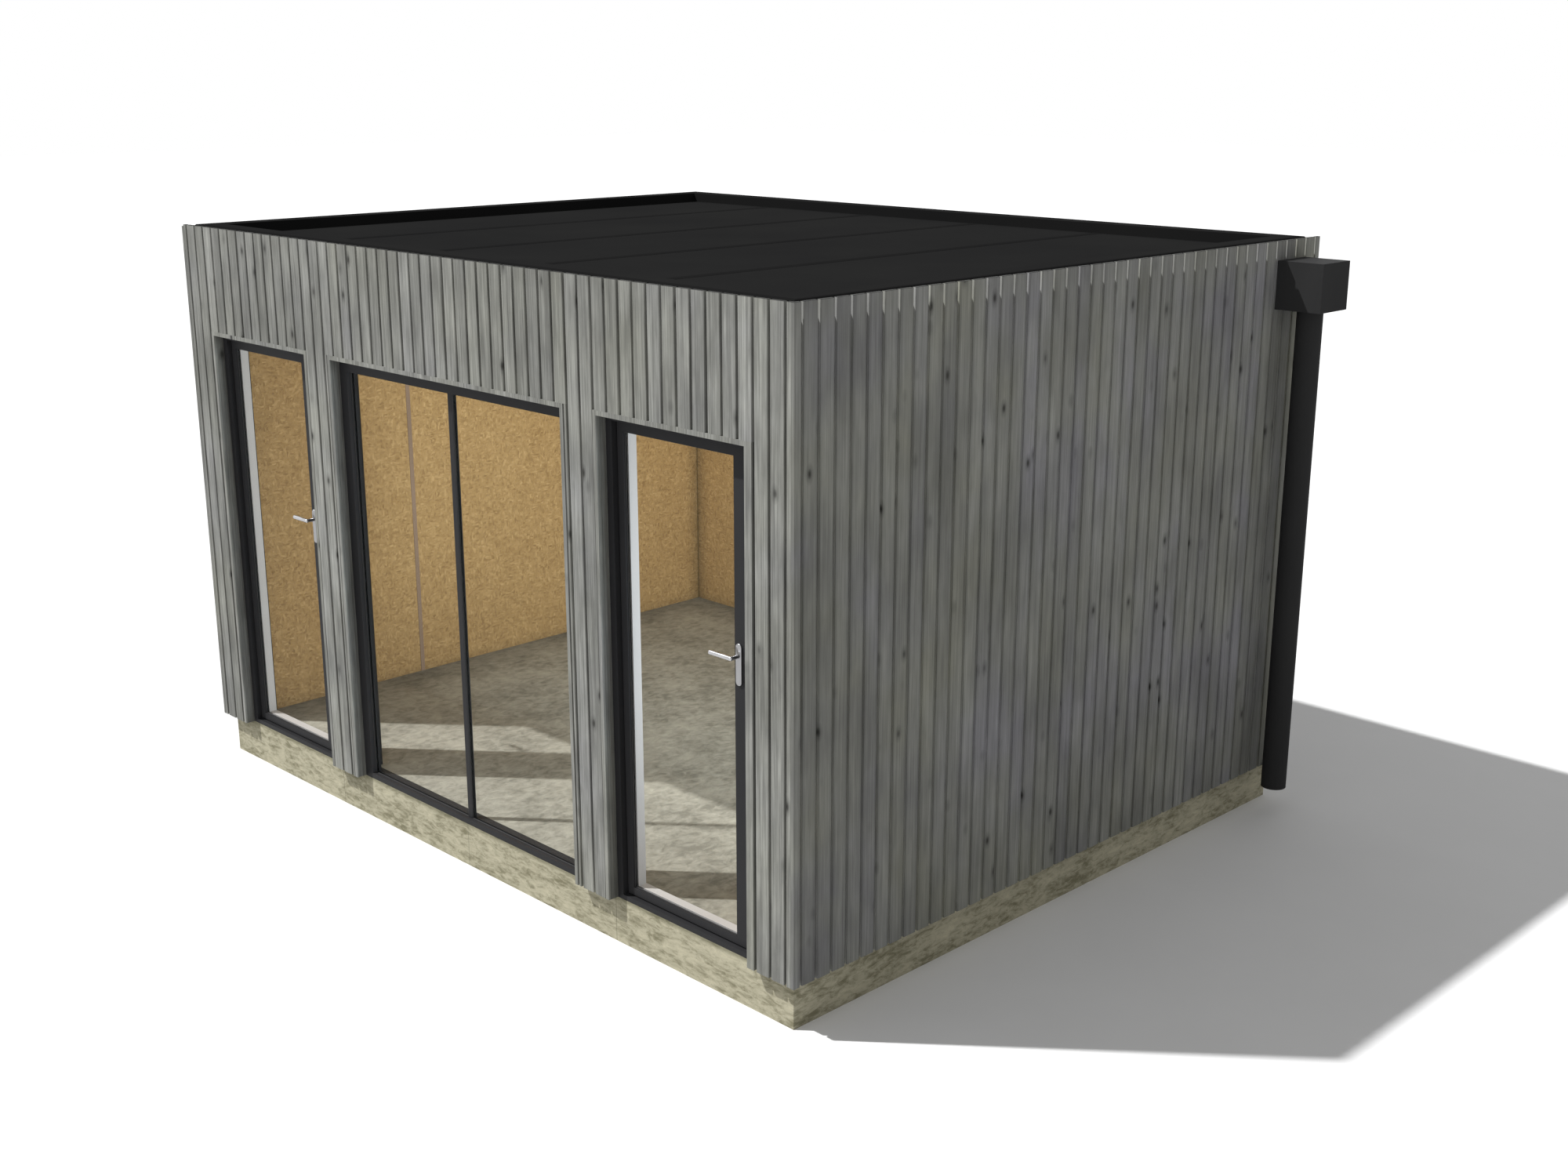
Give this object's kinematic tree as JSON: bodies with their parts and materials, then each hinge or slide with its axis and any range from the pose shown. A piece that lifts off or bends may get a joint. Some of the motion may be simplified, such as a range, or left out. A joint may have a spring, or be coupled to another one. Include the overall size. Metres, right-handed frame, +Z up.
{
  "type": "wooden annex",
  "caption": "Flat-roofed timber annex with vertical weathered boards, a glazed front with hinged doors beside a fixed window, a stone-coloured plinth and a rainwater pipe.",
  "frame": {"origin": "centre of the underside of the plinth", "axes": "+X to the right along the glazed front, -Y out of the front, +Z up"},
  "size_m": [4.213, 3.19, 2.576],
  "materials": {
    "concrete": "rough cast concrete",
    "screed": "floated concrete",
    "strand_board": "raw pressed strands",
    "weathered_wood": "weathered grey",
    "frame": "satin anthracite",
    "inner_leaf": "satin white",
    "glass": "clear",
    "handle": "brushed",
    "strip": "matt",
    "roof_sheet": "matt black sheet",
    "rainwater": "matt black"
  },
  "bodies": {
    "building": {"plinth": "concrete", "floor_screed": "screed", "left_wall": "strand_board", "right_wall": "strand_board", "back_wall": "strand_board", "lintel_wall": "strand_board", "outer_pier_left": "strand_board", "inner_pier_left": "strand_board", "inner_pier_right": "strand_board", "outer_pier_right": "strand_board", "ceiling": "strand_board", "roof_deck": "strand_board", "left_joint_strip": "strip", "right_joint_strip": "strip", "left_cladding": "weathered_wood", "right_cladding": "weathered_wood", "back_cladding": "weathered_wood", "lintel_cladding": "weathered_wood", "outer_cladding_left": "weathered_wood", "inner_cladding_left": "weathered_wood", "inner_cladding_right": "weathered_wood", "outer_cladding_right": "weathered_wood", "left_reveal": "weathered_wood", "window_reveal": "weathered_wood", "right_reveal": "weathered_wood", "left_frame": "frame", "right_frame": "frame", "window_frame": "frame", "window_pane_left": "glass", "window_pane_right": "glass", "roof_membrane": "roof_sheet", "hopper": "rainwater", "downpipe": "rainwater"},
    "left_door": {"left_leaf": "frame", "left_inner_leaf": "inner_leaf", "left_glass": "glass", "left_outer_plate": "handle", "left_inner_plate": "handle"},
    "left_handle": {"left_lever": "handle"},
    "right_door": {"right_leaf": "frame", "right_inner_leaf": "inner_leaf", "right_glass": "glass", "right_outer_plate": "handle", "right_inner_plate": "handle"},
    "right_handle": {"right_lever": "handle"}
  },
  "joints": [
    {"name": "left_door_swing", "type": "hinge", "parent": "building", "child": "left_door", "pos_m": [-1.731, -1.523, 1.1], "axis": [0, 0, -1], "range_deg": [0, 90]},
    {"name": "left_lever_turn", "type": "hinge", "parent": "left_door", "child": "left_handle", "pos_m": [-1.106, -1.53, 1.322], "axis": [0, -1, 0], "range_deg": [0, 40], "stiffness_Nm_per_rad": 1.5, "springref_deg": -20.05},
    {"name": "right_door_swing", "type": "hinge", "parent": "building", "child": "right_door", "pos_m": [1.043, -1.523, 1.1], "axis": [0, 0, -1], "range_deg": [0, 90]},
    {"name": "right_lever_turn", "type": "hinge", "parent": "right_door", "child": "right_handle", "pos_m": [1.668, -1.53, 1.322], "axis": [0, -1, 0], "range_deg": [0, 40], "stiffness_Nm_per_rad": 1.5, "springref_deg": -20.05}
  ]
}
